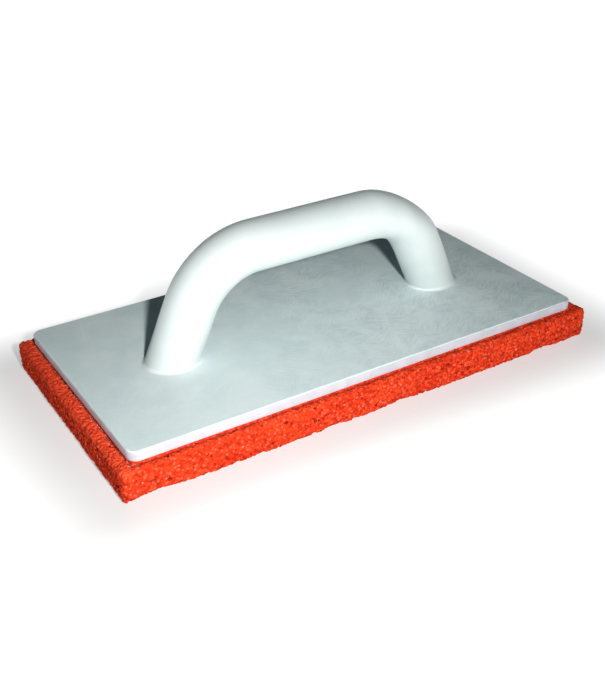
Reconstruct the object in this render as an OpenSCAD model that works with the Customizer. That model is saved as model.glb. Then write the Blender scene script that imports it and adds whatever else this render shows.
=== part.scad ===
// Sponge rubber float: a plastic plate with a tube handle on top and a cellular rubber pad underneath.
// +X runs along the length, +Y across and +Z up. The origin is the centre of the working face.

/* [Rubber pad] */
// Length of the pad
pad_l = 280; // [220:1:360]
// Width of the pad
pad_w = 140; // [110:1:180]
// Thickness of the pad
pad_t = 18; // [10:0.5:30]
// Radius of the pad's upright corners
pad_corner_r = 2.5; // [1.5:0.5:10]
// Chamfer worn along the pad's top and bottom edges
pad_edge = 1; // [0.4:0.1:2]

/* [Adhesive film] */
// Thickness of the film between plate and pad
film_t = 0.3; // [0.2:0.05:0.8]
// Distance the film stays back from the plate's edge
film_setback = 0.8; // [0.4:0.1:2]

/* [Backing plate] */
// Distance the pad stands out past each end of the plate
overhang_end = 7.5; // [2:0.5:12]
// Distance the pad stands out past each long side of the plate
overhang_side = 5; // [2:0.5:12]
// Thickness of the plate
plate_t = 5; // [4:0.1:8]
// Radius of the plate's upright corners
plate_corner_r = 5; // [2.5:0.5:12]
// Chamfer along the plate's top edge
plate_edge = 0.7; // [0.3:0.1:1.5]

/* [Handle tube] */
// Distance between the centres of the two feet
foot_span = 164; // [135:1:200]
// Height of the grip's centre line above the plate
grip_rise = 50.5; // [41:0.5:65]
// Angle by which each leg leans out from upright
leg_splay = 24.5; // [12:0.5:32]
// Radius of the bends, measured to the tube's centre line
bend_r = 40.5; // [32:0.5:50]
// Outside diameter of the tube
tube_d = 26.5; // [22:0.5:32]
// Wall of the tube
tube_wall = 3; // [2:0.25:4]
// Distance from the plate's centre line to the handle's, along Y
handle_y = -2.5; // [-6:0.5:6]

/* [Foot beads] */
// Distance a bead of cement reaches out from the tube
bead_reach = 1.6; // [0.8:0.1:3]
// Height a bead climbs up the tube
bead_rise = 1.6; // [0.8:0.1:3]

/* [Foot plugs] */
// Cement gap between a plug and the inside of the tube
plug_gap = 0.15; // [0.05:0.05:0.4]
// Empty length of leg left between a plug and the bend
plug_setback = 6; // [2:0.5:10]

/* [Foot screws] */
// Length of a screw, head included
screw_l = 20; // [14:0.5:22]
// Diameter over the thread
screw_d = 4.5; // [3.5:0.1:5.5]
// Diameter of the countersunk head
screw_head_d = 9; // [7.5:0.1:11]
// Depth of the thread
thread_depth = 0.6; // [0.3:0.05:0.8]
// Distance between thread turns
thread_pitch = 1.8; // [1.2:0.1:2.4]
// Depth of the head below the plate's underside
head_sink = 0.2; // [0.1:0.05:0.5]
// Gap round the thread, in the plate and in the plug
screw_gap = 0.1; // [0.05:0.05:0.3]
// Distance of a screw from its foot's centre, toward the middle of the handle
screw_inset = 3; // [1:0.5:4]

/* [Hidden] */
$fn = 96;
LEFT = -1;
RIGHT = 1;
eps = 0.01;

plate_l = pad_l - 2 * overhang_end;
plate_w = pad_w - 2 * overhang_side;
film_z = pad_t;
plate_z = film_z + film_t;
deck_z = plate_z + plate_t;

tube_r = tube_d / 2;
bore_r = tube_r - tube_wall;
foot_x = foot_span / 2;
bend_turn = 90 - leg_splay;
leg_top = grip_rise - bend_r + bend_r * cos(bend_turn);
leg_l = leg_top / cos(leg_splay);
grip_half = foot_x - leg_l * sin(leg_splay) - bend_r * sin(bend_turn);
// Extra length that a leg needs below the plate's top before it is cut flush
foot_extra = tube_r * tan(leg_splay) + 1;
bend_lap = 0.05;
bend_swell = 0.05;

plug_r = bore_r - plug_gap;
plug_l = leg_l - plug_setback;
bead_steps = 4;

screw_r = screw_d / 2;
head_r = screw_head_d / 2;
head_h = head_r - screw_r;
tip_h = screw_r;
recess_w = 1.1;
recess_l = screw_head_d * 0.6;
recess_depth = 1.6;
screw_x = foot_x - screw_inset;
screw_z = plate_z + head_sink;

// Outline of a slab's end: a rectangle whose bottom and top corners are cut off at 45 degrees.
module chamfered_profile(half_w, t, low_edge, top_edge) {
    polygon([
        [-half_w + low_edge, 0], [half_w - low_edge, 0], [half_w, low_edge], [half_w, t - top_edge],
        [half_w - top_edge, t], [-half_w + top_edge, t], [-half_w, t - top_edge], [-half_w, low_edge]
    ]);
}

// Slab with round upright corners and chamfered top and bottom edges, standing on z = 0.
module edged_slab(l, w, t, corner_r, low_edge, top_edge) {
    rotate([90, 0, 0])
        linear_extrude(w - 2 * corner_r, center = true)
            chamfered_profile(l / 2, t, low_edge, top_edge);
    rotate([90, 0, 90])
        linear_extrude(l - 2 * corner_r, center = true)
            chamfered_profile(w / 2, t, low_edge, top_edge);
    for (x = [-1, 1], y = [-1, 1])
        translate([x * (l / 2 - corner_r), y * (w / 2 - corner_r), 0])
            rotate_extrude()
                intersection() {
                    chamfered_profile(corner_r, t, low_edge, top_edge);
                    square([corner_r, t]);
                }
}

// Places a leg's own frame: its axis is +Z and its origin is the centre of the foot on the plate.
module at_foot(side) {
    translate([side * foot_x, handle_y, deck_z])
        rotate([0, -side * leg_splay, 0])
            children();
}

// Everything above the plate's top, as a block that trims what stands on the plate.
module above_deck(height) {
    translate([0, handle_y, deck_z + height / 2])
        cube([foot_span + 4 * tube_d, 2 * tube_d, height], center = true);
}

// Solid bar along the handle's centre line. The bends are fuller than the straight lengths by a hair and
// lap over them, so that no two surfaces meet at a tangent.
module handle_bar(radius) {
    translate([0, handle_y, deck_z + grip_rise])
        rotate([0, 90, 0])
            cylinder(r = radius, h = 2 * (grip_half + bend_lap), center = true);
    for (side = [LEFT, RIGHT]) {
        at_foot(side)
            translate([0, 0, -foot_extra])
                cylinder(r = radius, h = leg_l + foot_extra + bend_lap);
        translate([side * grip_half, handle_y, deck_z + grip_rise - bend_r])
            rotate([90, 0, side == RIGHT ? 0 : 180])
                rotate([0, 0, leg_splay])
                    rotate_extrude(angle = bend_turn)
                        translate([bend_r, 0])
                            circle(r = radius + bend_swell);
    }
}

module sponge_pad() {
    color([0.85, 0.26, 0.13])
        edged_slab(pad_l, pad_w, pad_t, pad_corner_r, pad_edge, pad_edge);
}

module pad_adhesive() {
    film_r = plate_corner_r - film_setback;
    color([0.24, 0.15, 0.12])
        translate([0, 0, film_z])
            edged_slab(plate_l - 2 * film_setback, plate_w - 2 * film_setback, film_t, film_r, 0, 0);
}

module backing_plate() {
    color([0.80, 0.84, 0.84])
        difference() {
            translate([0, 0, plate_z])
                edged_slab(plate_l, plate_w, plate_t, plate_corner_r, 0, plate_edge);
            for (side = [LEFT, RIGHT])
                translate([side * screw_x, handle_y, plate_z])
                    screw_hole(plate_t + eps);
        }
}

// Countersunk hole, opening downward, that a screw's head seats in.
module screw_hole(depth) {
    translate([0, 0, -eps])
        cylinder(r = screw_r + screw_gap, h = depth + eps);
    translate([0, 0, -eps])
        cylinder(r = head_r, h = head_sink + eps);
    translate([0, 0, head_sink])
        cylinder(r1 = head_r, r2 = screw_r, h = head_h);
}

// Outline of the thread from the head up to the tip, one tooth for each turn.
module thread_profile() {
    turns = floor((screw_l - head_h - tip_h) / thread_pitch);
    core_r = screw_r - thread_depth;
    polygon(concat(
        [[0, head_h], [core_r, head_h]],
        [for (i = [0 : turns - 1], k = [0 : 2])
            [k == 1 ? screw_r : core_r, head_h + (i + k * 0.4) * thread_pitch]],
        [[core_r, screw_l - tip_h], [0, screw_l]]
    ));
}

module foot_screw() {
    difference() {
        union() {
            cylinder(r1 = head_r, r2 = screw_r, h = head_h);
            rotate_extrude()
                thread_profile();
        }
        for (turn = [0, 90])
            rotate([0, 0, turn])
                translate([0, 0, recess_depth / 2 - eps])
                    cube([recess_l, recess_w, recess_depth + eps], center = true);
    }
}

module foot_screws() {
    color([0.72, 0.73, 0.75])
        for (side = [LEFT, RIGHT])
            translate([side * screw_x, handle_y, screw_z])
                foot_screw();
}

module foot_plug(side) {
    color([0.88, 0.88, 0.85])
        difference() {
            intersection() {
                at_foot(side)
                    translate([0, 0, -foot_extra])
                        cylinder(r = plug_r, h = plug_l + foot_extra);
                above_deck(grip_rise);
            }
            translate([side * screw_x, handle_y, deck_z - eps])
                cylinder(r = screw_r + screw_gap, h = screw_l - plate_t + head_sink + screw_gap + eps);
        }
}

module handle_tube() {
    color([0.95, 0.96, 0.96])
        intersection() {
            difference() {
                handle_bar(tube_r);
                handle_bar(bore_r);
            }
            above_deck(grip_rise + tube_d);
        }
}

// Bead of cement round a foot: rings that follow a quarter circle up the tube.
module foot_bead(side) {
    step_h = bead_rise / bead_steps;
    color([0.93, 0.94, 0.94])
        difference() {
            for (i = [0 : bead_steps - 1])
                intersection() {
                    at_foot(side)
                        cylinder(
                            r = tube_r + bead_reach * sqrt(1 - pow(i / bead_steps, 2)),
                            h = 4 * foot_extra,
                            center = true
                        );
                    translate([0, 0, i * step_h])
                        above_deck(step_h);
                }
            at_foot(side)
                cylinder(r = tube_r, h = 6 * foot_extra, center = true);
        }
}

sponge_pad();
pad_adhesive();
backing_plate();
foot_screws();
foot_plug(LEFT);  // left_foot_plug
foot_plug(RIGHT);  // right_foot_plug
handle_tube();
foot_bead(LEFT);  // left_foot_bead
foot_bead(RIGHT);  // right_foot_bead
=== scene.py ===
from math import cos, pi, radians, sin

import bpy
import numpy as np
from mathutils import Matrix, Vector


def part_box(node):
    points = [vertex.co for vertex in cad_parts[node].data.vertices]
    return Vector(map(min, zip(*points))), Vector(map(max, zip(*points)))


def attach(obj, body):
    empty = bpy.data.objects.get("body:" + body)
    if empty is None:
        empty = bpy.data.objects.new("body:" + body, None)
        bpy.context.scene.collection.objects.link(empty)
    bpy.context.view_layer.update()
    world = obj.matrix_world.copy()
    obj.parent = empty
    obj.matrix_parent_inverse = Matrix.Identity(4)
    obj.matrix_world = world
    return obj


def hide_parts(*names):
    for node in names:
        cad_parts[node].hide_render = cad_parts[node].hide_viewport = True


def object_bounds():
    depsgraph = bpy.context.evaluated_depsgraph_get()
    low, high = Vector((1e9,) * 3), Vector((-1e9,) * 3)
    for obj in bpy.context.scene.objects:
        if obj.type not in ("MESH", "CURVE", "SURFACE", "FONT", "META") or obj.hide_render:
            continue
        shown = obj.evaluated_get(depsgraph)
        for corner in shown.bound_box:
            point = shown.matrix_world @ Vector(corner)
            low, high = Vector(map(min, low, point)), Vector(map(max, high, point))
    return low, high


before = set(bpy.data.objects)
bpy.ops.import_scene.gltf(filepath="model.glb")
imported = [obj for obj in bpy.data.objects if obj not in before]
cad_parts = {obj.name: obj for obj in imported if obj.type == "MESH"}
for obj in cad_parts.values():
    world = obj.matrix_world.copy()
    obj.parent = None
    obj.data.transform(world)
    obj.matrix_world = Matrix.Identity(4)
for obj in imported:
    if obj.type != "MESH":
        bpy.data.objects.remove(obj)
cad_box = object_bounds()


# ---- Camera --------------------------------------------------------------------------------------------
# A compact camera, held half a metre from the float off its near left corner and looking down across the
# handle. Its view is shifted up a little, as when the foot of a frame is cut off.
camera = bpy.data.objects.new("camera", bpy.data.cameras.new("camera"))
bpy.context.collection.objects.link(camera)
bpy.context.scene.camera = camera
line_of_sight = Vector((0.44072, 0.71845, -0.53814))
camera.location = (-0.24733, -0.39671, 0.27695)
tilt = Matrix.Rotation(radians(-0.809), 3, "Z")
camera.rotation_euler = (line_of_sight.to_track_quat("-Z", "Y").to_matrix() @ tilt).to_euler()
camera.data.lens = 50.39
camera.data.shift_y = 0.05
camera.data.clip_start = 0.01
bpy.context.scene.view_settings.view_transform = "Standard"
bpy.context.scene.view_settings.look = "Medium High Contrast"


# ---- Floor ---------------------------------------------------------------------------------------------
# A wide matt table top that the pad stands on. It is lit from below, as a light table is, and less so in the
# middle, where the float stands, so it stays white without washing out the pad's sides.
FLOOR_RADIUS = 4.0
FLOOR_GAP = 0.00005
GLOW_FADE = 0.07


class Output:
    """An output of a shader node. + - * with another output or a number add a Math node, and add() adds
    any other node."""

    def __init__(self, tree, out=None):
        self.tree, self.out = tree, out

    def add(self, kind, settings=None, sockets=None, out=0):
        """Adds a node: its settings first, then a value or a link for each socket. Gives its output."""
        node = self.tree.nodes.new(kind)
        for name, value in (settings or {}).items():
            setattr(node, name, value)
        for name, value in (sockets or {}).items():
            if isinstance(value, Output):
                self.tree.links.new(value.out, node.inputs[name])
            else:
                node.inputs[name].default_value = value
        return Output(self.tree, node.outputs[out] if len(node.outputs) else None)

    def math(self, operation, *values):
        """A Math node on the values given, this one among them."""
        return self.add("ShaderNodeMath", {"operation": operation}, dict(enumerate(values)))

    def __add__(self, other):
        return self.math("ADD", self, other)

    def __sub__(self, other):
        return self.math("SUBTRACT", self, other)

    def __mul__(self, other):
        return self.math("MULTIPLY", self, other)

    def __rsub__(self, other):
        return self.math("SUBTRACT", other, self)

    __radd__, __rmul__ = __add__, __mul__

    def step(self, low, high):
        """Smooth step: 0 where the value is low or under, 1 where it is high or over."""
        span = {"Value": self, "From Min": low, "From Max": high}
        return self.add("ShaderNodeMapRange", {"interpolation_type": "SMOOTHSTEP"}, span, "Result")

    def mix(self, first, second):
        """Colour that goes from first to second as this value goes from 0 to 1."""
        return self.add("ShaderNodeMix", {"data_type": "RGBA"}, {0: self, 6: first, 7: second}, 2)

    def noise(self, where, size, detail=2.0, warp=0.0):
        """Cloudy noise about 0.5, with features of about the size given, in metres."""
        sockets = {"Vector": where, "Scale": 1 / size, "Detail": detail, "Distortion": warp}
        return self.add("ShaderNodeTexNoise", {}, sockets, "Fac")

    def cells(self, where, size, out):
        """Cells of about the size given, in metres: Distance from a cell's dot, or its random Color."""
        return self.add("ShaderNodeTexVoronoi", {}, {"Vector": where, "Scale": 1 / size}, out)

    def channel(self, colour, name):
        """One channel of a colour, as a value."""
        return self.add("ShaderNodeSeparateColor", {}, {"Color": colour}, name)

    def axis(self, where, name):
        """One coordinate of a point, as a value."""
        return self.add("ShaderNodeSeparateXYZ", {}, {"Vector": where}, name)

    def vector(self, operation, *values, out="Vector"):
        """A Vector Math node on the values given."""
        return self.add("ShaderNodeVectorMath", {"operation": operation}, dict(enumerate(values)), out)

    def bump(self, height, depth):
        """Normal of a surface whose height goes from 0 to depth, in metres, as the value goes from 0 to 1."""
        return self.add("ShaderNodeBump", {}, {"Height": height, "Distance": depth}, "Normal")

    def here(self):
        """The point on the object, in metres."""
        return self.add("ShaderNodeTexCoord", {}, {}, "Object")


def start_finish(name):
    """Empty material, and the output object that its nodes are added with."""
    material = bpy.data.materials.new(name)
    material.use_nodes = True
    material.node_tree.nodes.clear()
    return material, Output(material.node_tree)


def close_finish(n, sockets):
    """Principled surface with these sockets, wired to the material's output."""
    surface = n.add("ShaderNodeBsdfPrincipled", {}, sockets, "BSDF")
    n.add("ShaderNodeOutputMaterial", {}, {"Surface": surface})


floor_mesh = bpy.data.meshes.new("floor")
turn = np.linspace(0, 2 * pi, 96, endpoint=False)
floor_x, floor_y = FLOOR_RADIUS * np.cos(turn), FLOOR_RADIUS * np.sin(turn)
floor_rim = np.stack([floor_x, floor_y, np.full(len(turn), -FLOOR_GAP)], 1)
floor_mesh.from_pydata(floor_rim, [], [list(range(len(turn)))])
floor = bpy.data.objects.new("floor", floor_mesh)
bpy.context.collection.objects.link(floor)
table_white, n = start_finish("table_white")
here = n.here()
table_cloud = n.noise(here, 0.4).step(0.2, 0.8)
past_pad = n.vector("SUBTRACT", n.vector("ABSOLUTE", here), cad_box[1])
from_pad = n.vector("LENGTH", n.vector("MAXIMUM", past_pad, (0, 0, 0)), out="Value")
close_finish(n, {
    "Base Color": table_cloud.mix((0.42, 0.42, 0.42, 1), (0.46, 0.46, 0.46, 1)),
    "Roughness": 0.9,
    "Emission Color": from_pad.step(0.0, GLOW_FADE).mix((0.36, 0.36, 0.36, 1), (0.85, 0.85, 0.85, 1)),
    "Emission Strength": 1.0,
})
floor_mesh.materials.append(table_white)


# ---- Lights --------------------------------------------------------------------------------------------
# A small flash to the right of the lens does most of the lighting. Two wide soft boxes, one high on the left
# and one low behind, and a tent round it all fill in faintly. The tent itself looks white.
def area_light(name, place, aim, size, energy, shape, colour):
    """Area light at a place, in metres, turned toward the point aim."""
    lamp = bpy.data.objects.new(name, bpy.data.lights.new(name, "AREA"))
    bpy.context.collection.objects.link(lamp)
    lamp.location = place
    lamp.rotation_euler = (Vector(aim) - lamp.location).to_track_quat("-Z", "Y").to_euler()
    lamp.data.shape, lamp.data.size, lamp.data.energy, lamp.data.color = shape, size, energy, colour
    return lamp


warm, cool = (1, 0.99, 0.98), (0.8, 0.95, 1)
flash = area_light("flash", (-0.178, -0.428, 0.290), (-0.08, -0.06, 0.02), 0.036, 1.19, "DISK", warm)
flash.data.spread = radians(125)
area_light("side_box", (-0.5, 0.3, 1.1), (0, 0, 0), 0.9, 0.2, "SQUARE", cool)
area_light("back_box", (0.7, 1.2, 0.45), (0, 0, 0.03), 0.8, 0.5, "SQUARE", cool)

tent = bpy.data.worlds.new("tent")
bpy.context.scene.world = tent
tent.use_nodes = True
tent.node_tree.nodes.clear()
n = Output(tent.node_tree)
way = n.add("ShaderNodeTexCoord", {}, {}, "Generated")
glow = 0.03 + 0.34 * (1 - n.axis(way, "Z").step(0.0, 0.14))
seen = n.add("ShaderNodeLightPath", {}, {}, "Is Camera Ray")
backdrop = seen.mix((0.68, 0.92, 1, 1), (1, 1, 1, 1))
strength = n.math("MAXIMUM", glow, seen)
sky = n.add("ShaderNodeBackground", {}, {"Color": backdrop, "Strength": strength})
n.add("ShaderNodeOutputWorld", {}, {"Surface": sky})


# ---- Sponge pad ----------------------------------------------------------------------------------------
# Slab of coarse-celled orange sponge rubber, sawn from a block, so its faces are open cells and torn walls.
# Use has worn its lower edge wavy and nibbled it away in places.
PAD_CORNER = 0.0025
PAD_EDGE = 0.0030
LEDGE = 0.0085
MIDDLE_HOLE = 0.002
LONG_STEPS, SHORT_STEPS, CORNER_STEPS = 700, 350, 10
UNDERSIDE_STEPS, SIDE_STEPS, LEDGE_STEPS, COVERED_STEPS = 46, 40, 15, 10
LUMP, GRAIN, PORE = 0.0030, 0.0015, 0.0046
LUMP_DEPTH, GRAIN_DEPTH, PORE_DEPTH = 0.00040, 0.00055, 0.0009
SWELL_DEPTH, GROOVE_DEPTH = 0.00025, 0.0008
EDGE_REACH, LOW_REACH = 0.006, 0.0035


def rounded_ring(half_x, half_y, corner, steps):
    """Points round a rectangle with round corners, counterclockwise from above. Each corner is a quarter of
    a circle of radius corner, and a straight run is shared out evenly between the two arcs that it joins."""
    along_x, along_y, round_corner = steps
    centres = np.array([(1, 1), (-1, 1), (-1, -1), (1, -1)]) * (half_x - corner, half_y - corner)
    runs = []
    for quarter, run in enumerate((along_x, along_y, along_x, along_y)):
        turn = quarter * pi / 2 + np.linspace(0, pi / 2, round_corner)
        arc = centres[quarter] + corner * np.stack([np.cos(turn), np.sin(turn)], 1)
        end = centres[(quarter + 1) % 4] + corner * np.array([cos(turn[-1]), sin(turn[-1])])
        share = np.linspace(0, 1, run + 1)[1:-1, None]
        runs += [arc, arc[-1] + share * (end - arc[-1])]
    return np.concatenate(runs)


def slab_rings(half_x, half_y, corner, profile, steps):
    """Rings of a slab: a profile carried round a rectangle with round corners. The profile is a list of
    (inset from the outline, height), from the middle of the underside out and up to the middle of the top.
    A ring's outline is the slab's, drawn in by the inset, and its corners close up as it shrinks."""
    rings = []
    for inset, level in profile:
        ring_corner = max(corner - inset, 0.15 * corner * (1 - inset / half_y))
        flat = rounded_ring(half_x - inset, half_y - inset, ring_corner, steps)
        rings.append(np.column_stack([flat, np.full(len(flat), level)]))
    return np.array(rings)


def skin(name, rings, capped):
    """Mesh object over a grid of points, of shape (ring, point round the ring, 3). Each point is joined to
    the next one round and to the next ring. The end rings close on a middle point each if capped, and
    otherwise the last ring joins the first."""
    count, around, _ = rings.shape
    index = np.arange(count * around).reshape(count, around)
    low, high = (index[:-1], index[1:]) if capped else (index, np.roll(index, -1, 0))
    quads = np.stack([low, np.roll(low, -1, 1), np.roll(high, -1, 1), high], -1).reshape(-1, 4)
    points, faces = rings.reshape(-1, 3), quads.tolist()
    if capped:
        points = np.vstack([points, rings[0].mean(0), rings[-1].mean(0)])
        first, last, under, over = index[0], index[-1], count * around, count * around + 1
        faces += np.stack([np.full(around, under), np.roll(first, -1), first], 1).tolist()
        faces += np.stack([last, np.roll(last, -1), np.full(around, over)], 1).tolist()
    mesh = bpy.data.meshes.new(name)
    mesh.from_pydata(points, [], faces)
    mesh.shade_smooth()
    piece = bpy.data.objects.new(name, mesh)
    bpy.context.collection.objects.link(piece)
    return piece


def ring_normals(rings):
    """Unit normals over a grid of rings: the step round the ring crossed with the step to the next ring."""
    around = np.roll(rings, -1, 1) - np.roll(rings, 1, 1)
    across = np.gradient(rings, axis=0)
    normal = np.cross(around, across)
    return normal / np.maximum(np.linalg.norm(normal, axis=-1, keepdims=True), 1e-12)


def nearest_cell(points, size, seed):
    """Cell pattern: space is cut into cubes with one random dot in each. Gives the distance from each point
    to the nearest dot, in cube sides, and that cube's own random number."""
    dots = np.random.default_rng(seed).random((64, 64, 64, 4))
    place = points / size
    cube = np.floor(place).astype(int)
    best, own = np.full(place.shape[:-1], 9.0), np.zeros(place.shape[:-1])
    for step in np.ndindex(3, 3, 3):
        near = cube + step - 1
        dot = dots[near[..., 0] % 64, near[..., 1] % 64, near[..., 2] % 64]
        gap = np.linalg.norm(place - near - dot[..., :3], axis=-1)
        own = np.where(gap < best, dot[..., 3], own)
        best = np.minimum(gap, best)
    return best, own


def waves(points, length, seed):
    """Slow random swell, mostly between -1 and 1: twice the mean of nine sine waves of about the length
    given, each with its own direction and phase."""
    draw = np.random.default_rng(seed)
    ways = draw.normal(size=(9, 3))
    ways *= 2 * pi / length * draw.uniform(0.6, 1.5, (9, 1)) / np.linalg.norm(ways, axis=1, keepdims=True)
    return np.sin(points @ ways.T + draw.uniform(0, 2 * pi, 9)).mean(-1) * 2


def ramp(value, low, high):
    """Smooth step from 0 at low to 1 at high."""
    share = np.clip((value - low) / (high - low), 0, 1)
    return share * share * (3 - 2 * share)


def finish_node(node, material):
    """Gives a CAD node the material in all its slots."""
    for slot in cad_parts[node].material_slots:
        slot.material = material


pad_low, pad_high = (np.array(corner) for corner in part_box("sponge_pad"))
plate_low, plate_high = (np.array(corner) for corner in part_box("backing_plate"))
pad_half, plate_half = pad_high[:2], plate_high[:2]
pad_top = pad_high[2]
round_over = np.linspace(0, pi / 2, 7)
to_middle = pad_half[1] - MIDDLE_HOLE
pad_profile = [(inset, 0.0) for inset in np.linspace(to_middle, PAD_EDGE, UNDERSIDE_STEPS)]
pad_profile += [(PAD_EDGE * (1 - sin(a)), PAD_EDGE * (1 - cos(a))) for a in round_over]
pad_profile += [(0.0, level) for level in np.linspace(PAD_EDGE, pad_top - PAD_EDGE, SIDE_STEPS)[1:-1]]
pad_profile += [(PAD_EDGE * (1 - cos(a)), pad_top - PAD_EDGE * (1 - sin(a))) for a in round_over]
pad_profile += [(inset, pad_top) for inset in np.linspace(PAD_EDGE, LEDGE, LEDGE_STEPS)[1:]]
pad_profile += [(inset, pad_top) for inset in np.linspace(LEDGE, to_middle, COVERED_STEPS)[1:]]
pad_rings = slab_rings(*pad_half, PAD_CORNER, pad_profile, (LONG_STEPS, SHORT_STEPS, CORNER_STEPS))
pad_normals = ring_normals(pad_rings)

# Where the skin is shaped: all of it but what the plate covers, and the lower edge most on the long sides.
x, y, z = np.moveaxis(pad_rings, -1, 0)
on_ledge = z > pad_top - 1e-6
off_plate = np.maximum(np.abs(x) - plate_half[0], np.abs(y) - plate_half[1])
open_face = np.where(on_ledge, ramp(off_plate, -0.0010, 0.0), 1.0)
past_side = np.maximum(np.abs(x) - pad_half[0], np.abs(y) - pad_half[1])
long_side = 0.3 + 0.7 * ramp(np.abs(y) - pad_half[1], -EDGE_REACH, 0)
low_edge = np.exp(-((z / LOW_REACH) ** 2)) * ramp(past_side, -EDGE_REACH, 0) * long_side

# The skin is sunk between lumps and between grains, into round pores and by a slow swell. A groove runs
# beside the plate, and the lower edge is torn and nibbled upward.
lump, _ = nearest_cell(pad_rings, LUMP, 11)
grain, _ = nearest_cell(pad_rings, GRAIN, 12)
pore, pore_size = nearest_cell(pad_rings, PORE, 13)
pit_width = np.where(pore_size > 0.45, 0.10 + 0.20 * (pore_size - 0.45) / 0.55, 1e-3)
pit = np.sqrt(np.clip(1 - (pore / pit_width) ** 2, 0, 1))
torn = ramp(waves(pad_rings, 0.022, 14), 0.0, 0.9)
nibble = ramp(waves(pad_rings, 0.007, 15), 0.45, 0.9)
worn_corner = np.exp(-(((x + pad_half[0] - 0.020) / 0.011) ** 2) - ((y + pad_half[1]) / 0.006) ** 2)
sunk = LUMP_DEPTH * ramp(lump, 0.25, 0.95) + GRAIN_DEPTH * ramp(grain, 0.2, 0.85) + PORE_DEPTH * pit
sunk += SWELL_DEPTH * (1 + waves(pad_rings, 0.030, 16)) * (z > 0.001)
groove = np.exp(-((off_plate / 0.0009) ** 2)) * on_ledge * (1 + 0.6 * waves(pad_rings, 0.004, 17))
sunk += GROOVE_DEPTH * groove + low_edge * (0.0005 * torn + 0.0006 * nibble)
pad_points = pad_rings - pad_normals * (sunk * open_face)[..., None]
lift = low_edge * (0.0011 * torn + 0.0007 * nibble + 0.0018 * worn_corner)
pad_points[..., 2] += lift
pad_points = np.clip(pad_points, pad_low, pad_high)

pad = skin("sponge_rubber_pad", pad_points, True)
# Two patterns that the finish reads: hollow is high in pores and in the seam beside the plate, and about a
# half between lumps, and the finish darkens by it as painted shade. Glue is the adhesive squeezed out of that
# seam, most of it at the left end.
seam = np.exp(-(((off_plate - 0.0002) / 0.0006) ** 2)) * on_ledge
seam *= 0.8 + 0.6 * waves(pad_rings, 0.005, 19)
hollow = np.clip((0.5 * ramp(lump, 0.3, 1.0) + 0.9 * pit) * open_face + seam, 0, 1)
squeezed = 0.2 + 0.8 * ramp(-x - plate_half[0], -0.0005, 0.0005) + 0.3 * waves(pad_rings, 0.012, 18)
glue = on_ledge * ramp(off_plate, -0.0007, -0.0002) * (1 - ramp(off_plate, 0.0008, 0.0020)) * squeezed
for pattern, values in (("hollow", hollow), ("glue", glue)):
    values = np.append(values.ravel(), [0, 0])
    pad.data.attributes.new(pattern, "FLOAT", "POINT").data.foreach_set("value", values)

sponge, n = start_finish("sponge_rubber")
here = n.here()
hollow_shade = n.add("ShaderNodeAttribute", {"attribute_name": "hollow"}, {}, "Fac")
glue_strip = n.add("ShaderNodeAttribute", {"attribute_name": "glue"}, {}, "Fac")
crumb_dice = n.cells(here, GRAIN, "Color")
crumb_edge = n.cells(here, GRAIN, "Distance")
fine_edge = n.cells(here, 0.0007, "Distance")
shade = n.channel(crumb_dice, "Red")
crumb_glint = n.channel(crumb_dice, "Green").step(0.66, 0.90) * (1 - crumb_edge.step(0.30, 0.62))
pale_dice = n.channel(n.cells(here, 0.0024, "Color"), "Blue")
pale_dot = pale_dice.step(0.93, 0.96) * (1 - n.cells(here, 0.0024, "Distance").step(0.14, 0.34))
dark_dice = n.channel(n.cells(here, 0.0034, "Color"), "Red")
pore_shade = dark_dice.step(0.88, 0.90) * (1 - n.cells(here, 0.0034, "Distance").step(0.08, 0.22))
patch = n.noise(here, 0.02, 3).step(0.3, 0.7)
# Patchy orange, then crumbs of their own tone, bright specks that are painted glints, painted shade in the
# gaps between crumbs, pale dots, painted shade in hollows and in small dark pores, a ledge paler with painted
# light and ends darker with painted shade.
rubber = patch.mix((0.85, 0.074, 0.022, 1), (0.92, 0.095, 0.030, 1))
rubber = (shade * 0.60).mix(rubber, (0.50, 0.030, 0.010, 1))
# Painted glints: bright specks on the middles of the crumbs, away from the gaps between them.
rubber = (crumb_glint * 0.55).mix(rubber, (1.0, 0.20, 0.12, 1))
# Painted shade in the gaps between crumbs.
rubber = (crumb_edge.step(0.45, 0.85) * 0.65).mix(rubber, (0.33, 0.016, 0.006, 1))
rubber = (pale_dot * 0.6).mix(rubber, (0.95, 0.38, 0.27, 1))
# Painted shade in pores, between lumps and in the seam beside the plate.
rubber = (hollow_shade.step(0.2, 0.9) * 0.75).mix(rubber, (0.20, 0.010, 0.005, 1))
# Painted shade in small sunk pores, which the bump also presses in.
rubber = (pore_shade * 0.9).mix(rubber, (0.08, 0.005, 0.004, 1))
# Painted light: the ledge on top is made paler where the light falls on it, most of all at the left end.
ledge = n.axis(here, "Z").step(pad_high[2] - 0.0030, pad_high[2] - 0.0012)
lengthwise = n.axis(here, "X")
left_end = (0 - lengthwise).step(plate_high[0] - 0.001, plate_high[0] + 0.002)
rubber = (ledge * (0.15 + 0.40 * left_end)).mix(rubber, (1.0, 0.13, 0.055, 1))
# Painted shade: both end faces are made a little darker.
shaded_end_face = n.math("ABSOLUTE", lengthwise).step(pad_high[0] - 0.0030, pad_high[0] - 0.0008)
rubber = (shaded_end_face * 0.16).mix(rubber, (0.05, 0.003, 0.002, 1))
glue_dot = glue_strip * (1 - n.cells(here, 0.0011, "Distance").step(0.25, 0.5)) * 0.65
rubber = glue_dot.mix(rubber, (0.78, 0.42, 0.34, 1))
relief = 0.6 * (1 - crumb_edge) + 0.35 * (1 - fine_edge) + 0.15 * n.noise(here, 0.0003, 3) - 0.8 * pore_shade
close_finish(n, {
    "Base Color": rubber,
    "Roughness": 0.92,
    "Specular IOR Level": 0.12,
    "Normal": n.bump(relief, 0.0009),
})
pad.data.materials.append(sponge)
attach(pad, "root")
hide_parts("sponge_pad")
finish_node("sponge_pad", sponge)
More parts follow.
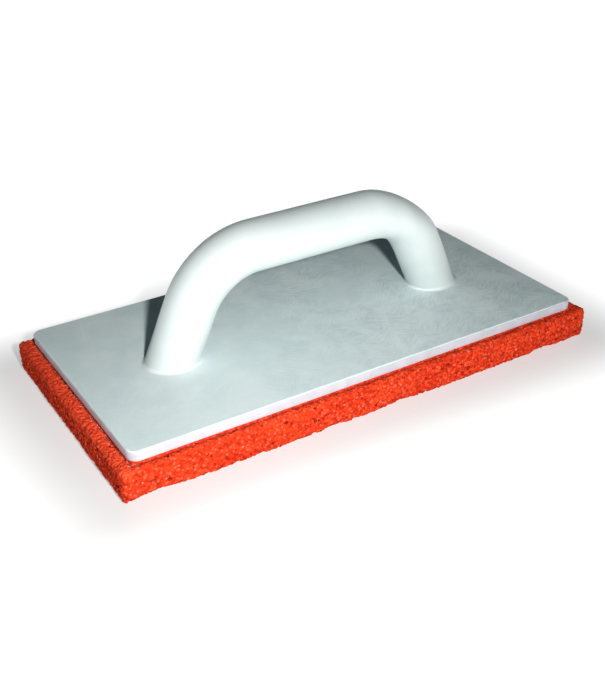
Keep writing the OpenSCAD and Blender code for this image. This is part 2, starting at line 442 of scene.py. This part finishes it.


# ---- Pad adhesive --------------------------------------------------------------------------------------
# Thin film of brown contact adhesive that bonds the pad to the plate, brushed on both and pressed together.
# It stops just short of the plate's edge, where it shows as a dark ragged line together with the groove in
# the pad beside it, whose darkness is painted shade.
adhesive, n = start_finish("contact_adhesive")
here = n.here()
brush_marks = n.noise(here, 0.003, 4, 1.0).step(0.3, 0.7)
bubbles = n.cells(here, 0.0015, "Distance").step(0.1, 0.5)
close_finish(n, {
    "Base Color": brush_marks.mix((0.055, 0.022, 0.012, 1), (0.16, 0.075, 0.04, 1)),
    "Roughness": 0.45 + 0.3 * brush_marks,
    "Normal": n.bump(bubbles, 0.0002),
})
finish_node("pad_adhesive", adhesive)


# ---- Backing plate -------------------------------------------------------------------------------------
# Sheet of white rigid plastic, 5 mm thick, cut to size with its corners and top edge eased over. Its satin
# top is clouded and scuffed by wiping, most of all toward the right. Its cut edges are a darker grey that is
# painted shade, for sides that the light barely reaches.
deck = plate_high[2]


def drawn_out(n, where, angle, length):
    """Coordinates in which a pattern is drawn out to so many times its width, along an angle in degrees."""
    turned = {"Vector": where, "Rotation": (0, 0, radians(angle)), "Scale": (length, 1, 1)}
    return n.add("ShaderNodeMapping", {"vector_type": "TEXTURE"}, turned, "Vector")


def hairlines(n, where, angle, spacing, width):
    """Fine long scratches in one direction: thin bands where drawn-out noise passes its middle value."""
    wander = n.noise(drawn_out(n, where, angle, 28), spacing, 2, 0.2)
    return 1 - n.math("ABSOLUTE", wander - 0.5).step(0, width)


plate_white, n = start_finish("plate_plastic")
here = n.here()
swirl = n.noise(here, 0.035, 5, 1.6).step(0.3, 0.72)
cloud = n.noise(here, 0.008, 4, 0.6).step(0.3, 0.7)
scratch_patch = n.noise(here, 0.03, 2).step(0.5, 0.62)
scratches = hairlines(n, here, -32, 0.006, 0.006) * scratch_patch
scratches = scratches + hairlines(n, here, 24, 0.009, 0.004) * (1 - scratch_patch)
scratches = n.math("MINIMUM", scratches + hairlines(n, here, 74, 0.014, 0.003), 1)
eddy = n.add("ShaderNodeTexNoise", {}, {"Vector": here, "Scale": 1 / 0.03, "Detail": 2.0}, "Color")
curved = n.vector("MULTIPLY_ADD", eddy, (0.014, 0.014, 0), here)
felt_patch = n.noise(here, 0.02, 2).step(0.42, 0.58)
felt = n.noise(drawn_out(n, curved, -28, 6), 0.0011, 6) * felt_patch
felt = (felt + n.noise(drawn_out(n, curved, 40, 6), 0.0011, 6) * (1 - felt_patch)).step(0.34, 0.68)
mottle = n.noise(here, 0.016, 8, 0.6).step(0.34, 0.68)
plate_dot = n.channel(n.cells(here, 0.009, "Color"), "Green").step(0.9, 0.91)
plate_dot = plate_dot * (1 - n.cells(here, 0.009, "Distance").step(0.02, 0.05))
on_top = n.axis(here, "Z").step(deck - 0.0006, deck - 0.0002)
rubbed = n.noise(here, 0.05, 2).step(0.36, 0.56) * n.axis(here, "X").step(-0.09, 0.04)
# Cloudy white, then grey mottling and pale felted wipe marks, both stronger where it is rubbed, scratches
# and a few dots of dirt. The edges are a plain darker grey, which is painted shade.
tone = swirl.mix((0.68, 0.80, 0.80, 1), (0.76, 0.86, 0.86, 1))
tone = (cloud * 0.30).mix(tone, (0.79, 0.87, 0.865, 1))
tone = (mottle * (0.12 + 0.50 * rubbed)).mix(tone, (0.52, 0.65, 0.655, 1))
tone = (felt * (0.14 + 0.46 * rubbed)).mix(tone, (0.88, 0.95, 0.95, 1))
tone = (scratches * 0.35).mix(tone, (0.88, 0.92, 0.915, 1))
tone = (plate_dot * 0.7).mix(tone, (0.16, 0.13, 0.11, 1))
# Painted shade: the edges get a darker grey than the top.
shaded_edge_grey = cloud.mix((0.52, 0.53, 0.58, 1), (0.58, 0.59, 0.64, 1))
tone = on_top.mix(shaded_edge_grey, tone)
plate_relief = 0.5 * cloud - 0.8 * scratches + 0.25 * n.noise(here, 0.0012, 3)
close_finish(n, {
    "Base Color": tone,
    "Roughness": 0.44 + 0.14 * swirl + 0.10 * scratches,
    "Specular IOR Level": 0.35,
    "Normal": n.bump(plate_relief, 0.00006),
})
finish_node("backing_plate", plate_white)


# ---- Foot screws ---------------------------------------------------------------------------------------
# Two countersunk steel screws, zinc plated, driven up through the plate from below before the pad goes on.
# They sit flush in the plate and hold the handle's feet down by their plugs.
zinc, n = start_finish("screw_steel")
here = n.here()
spangle = n.channel(n.cells(here, 0.0012, "Color"), "Red")
tarnish = n.noise(here, 0.002, 4).step(0.35, 0.7)
close_finish(n, {
    "Base Color": (tarnish * 0.6).mix((0.62, 0.63, 0.65, 1), (0.44, 0.43, 0.40, 1)),
    "Metallic": 1.0,
    "Roughness": 0.24 + 0.14 * spangle + 0.15 * tarnish,
    "Normal": n.bump(n.noise(here, 0.0005, 2), 0.00003),
})
finish_node("foot_screws", zinc)


# ---- Foot plugs ----------------------------------------------------------------------------------------
# Two short rods of white plastic, turned to fit the bore of the tube and cemented into its ends. They are cut
# off on the slant with the feet, and the screws bite in them.
plug_white, n = start_finish("plug_plastic")
here = n.here()
flow = n.noise(here, 0.006, 4, 1.2).step(0.3, 0.7)
close_finish(n, {
    "Base Color": flow.mix((0.66, 0.66, 0.61, 1), (0.74, 0.74, 0.70, 1)),
    "Roughness": 0.42 + 0.12 * flow,
    "Normal": n.bump(n.noise(here, 0.0009, 3), 0.00005),
})
for plug_node in ("left_foot_plug", "right_foot_plug"):
    finish_node(plug_node, plug_white)


# ---- Handle tube ---------------------------------------------------------------------------------------
# White plastic pipe, bent hot at two places into a low arch. Its legs lean in and are cut off on the slant,
# so that each foot is an oval that sits flat on the plate. The right-hand bend was pulled a little flatter.
WALL = 0.003
BEND_RADIUS = 0.0405
LEAN = radians(24.5)
FLATTENED = 0.10
BEND_SWELL = 0.00005
TUBE_AROUND, BEND_STEPS, GRIP_STEPS, LEG_STEPS = 96, 26, 20, 12

tube_low, tube_high = (np.array(corner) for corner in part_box("handle_tube"))
tube_radius = (tube_high[1] - tube_low[1]) / 2 - BEND_SWELL
handle_y = (tube_high[1] + tube_low[1]) / 2
foot_x = tube_high[0] - tube_radius / cos(LEAN)
grip_z = tube_high[2] - BEND_SWELL - tube_radius
bend_turn = pi / 2 - LEAN
bend_x = BEND_RADIUS * sin(bend_turn)
bend_z = grip_z - BEND_RADIUS * (1 - cos(bend_turn))
leg_x = foot_x - (bend_z - deck) * sin(LEAN) / cos(LEAN)
grip_half = leg_x - bend_x


def tube_rings(radius):
    """Rings of a tube along the handle's centre line, from the left foot to the right: two straight legs,
    two arcs of the bend radius and a straight grip. A ring is a circle square to the line. On a leg it
    slides along the leg, from the bend down to where each of its points meets the plate. Through the
    right-hand bend the circle is an oval, flattest halfway."""
    angle = np.linspace(0, 2 * pi, TUBE_AROUND, endpoint=False)
    turn = np.linspace(-bend_turn, 0, BEND_STEPS)
    left_x = -grip_half + BEND_RADIUS * np.sin(turn)
    left_z = grip_z - BEND_RADIUS * (1 - np.cos(turn))
    grip_x = np.linspace(-grip_half, grip_half, GRIP_STEPS)[1:-1]
    line_x = np.concatenate([left_x, grip_x, -left_x[::-1]])
    line_z = np.concatenate([left_z, np.full(len(grip_x), grip_z), left_z[::-1]])
    slope = np.concatenate([-turn, np.zeros(len(grip_x)), turn[::-1]])
    up_x, up_z = -np.sin(slope), np.cos(slope)
    bent = np.concatenate([np.zeros(len(turn) + len(grip_x)), np.sin(pi * turn[::-1] / bend_turn) ** 2])
    lift = (1 - FLATTENED * bent)[:, None] * radius * np.sin(angle)
    ring_x = line_x[:, None] + up_x[:, None] * lift
    ring_z = line_z[:, None] + up_z[:, None] * lift
    ring_y = handle_y + (1 + 0.5 * FLATTENED * bent)[:, None] * radius * np.cos(angle)
    middle = np.stack([ring_x, ring_y, ring_z], -1)
    share = np.linspace(1, 0, LEG_STEPS, endpoint=False)[:, None, None]
    drop_left = (middle[0, :, 2] - deck)[:, None] * np.array([sin(LEAN) / cos(LEAN), 0, 1])
    drop_right = (middle[-1, :, 2] - deck)[:, None] * np.array([-sin(LEAN) / cos(LEAN), 0, 1])
    left_leg = middle[0] - share * drop_left
    right_leg = middle[-1] - share[::-1] * drop_right
    return np.concatenate([left_leg, middle, right_leg])


outside = tube_rings(tube_radius)
inside = tube_rings(tube_radius - WALL)[::-1]
handle = skin("handle_pipe", np.concatenate([outside, inside]), False)
handle.data.set_sharp_from_angle(angle=radians(50))

pipe_white, n = start_finish("handle_plastic")
here = n.here()
haze = n.noise(here, 0.03, 4, 1.0).step(0.3, 0.7)
rub = n.noise(here, 0.004, 4, 0.8).step(0.45, 0.75)
pipe_dot = n.channel(n.cells(here, 0.011, "Color"), "Green").step(0.86, 0.87)
pipe_dot = pipe_dot * (1 - n.cells(here, 0.011, "Distance").step(0.02, 0.045))
pipe_tone = haze.mix((0.66, 0.73, 0.72, 1), (0.70, 0.765, 0.755, 1))
pipe_tone = (pipe_dot * 0.6).mix(pipe_tone, (0.22, 0.19, 0.17, 1))
close_finish(n, {
    "Base Color": pipe_tone,
    "Roughness": 0.30 + 0.14 * rub + 0.06 * haze,
    "Normal": n.bump(0.6 * n.noise(here, 0.010, 2) + 0.4 * n.noise(here, 0.0015, 3), 0.00008),
})
handle.data.materials.append(pipe_white)
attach(handle, "root")
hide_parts("handle_tube")
finish_node("handle_tube", pipe_white)


# ---- Foot beads ----------------------------------------------------------------------------------------
# Bead of white plastic cement run round each foot with a nozzle and wiped hollow with a finger, so it is a
# little uneven round the foot.
BEAD_REACH = 0.0016
BEAD_RISE = 0.0016
BEAD_AROUND, BEAD_STEPS = 160, 9


def bead_rings(side):
    """Rings round one foot: a hollow quarter circle between the plate and the tube's leaning wall, closed
    along both, carried round the oval where the tube meets the plate. Its size varies by about a quarter."""
    angle = np.linspace(0, 2 * pi, BEAD_AROUND, endpoint=False)
    oval_x, oval_y = tube_radius / cos(LEAN), tube_radius
    foot = np.stack([side * foot_x + oval_x * np.cos(angle), handle_y + oval_y * np.sin(angle)], 1)
    outward = np.stack([np.cos(angle) / oval_x, np.sin(angle) / oval_y], 1)
    outward /= np.linalg.norm(outward, axis=1, keepdims=True)
    size = 1 - 0.12 * (1 + waves(np.column_stack([foot, 0 * angle]), 0.012, 31))
    wall = np.array([-side * sin(LEAN), 0, cos(LEAN)])
    hollow_turn = np.linspace(0, pi / 2, BEAD_STEPS)
    reach = np.append(BEAD_REACH * (1 - np.sin(hollow_turn)), [0, 0.5 * BEAD_REACH])
    rise = np.append(BEAD_RISE * (1 - np.cos(hollow_turn)), [0, 0])
    rings = np.zeros((len(reach), len(angle), 3))
    rings[..., :2] = foot + outward * (reach[:, None] * size)[..., None]
    rings[..., 2] = deck
    return rings + (rise[:, None] * size)[..., None] * wall


cement, n = start_finish("bead_cement")
here = n.here()
smear = n.noise(here, 0.003, 4, 0.8).step(0.3, 0.7)
close_finish(n, {
    "Base Color": smear.mix((0.74, 0.81, 0.80, 1), (0.80, 0.86, 0.85, 1)),
    "Roughness": 0.34 + 0.2 * smear,
    "Normal": n.bump(n.noise(here, 0.0012, 3), 0.00012),
})
for side, bead_node in ((-1, "left_foot_bead"), (1, "right_foot_bead")):
    bead = skin(bead_node.replace("foot_bead", "cement_bead"), bead_rings(side), False)
    bead.data.set_sharp_from_angle(angle=radians(50))
    bead.data.materials.append(cement)
    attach(bead, "root")
    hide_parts(bead_node)
    finish_node(bead_node, cement)


# The view layer is updated once all the pieces are in place.
bpy.context.view_layer.update()
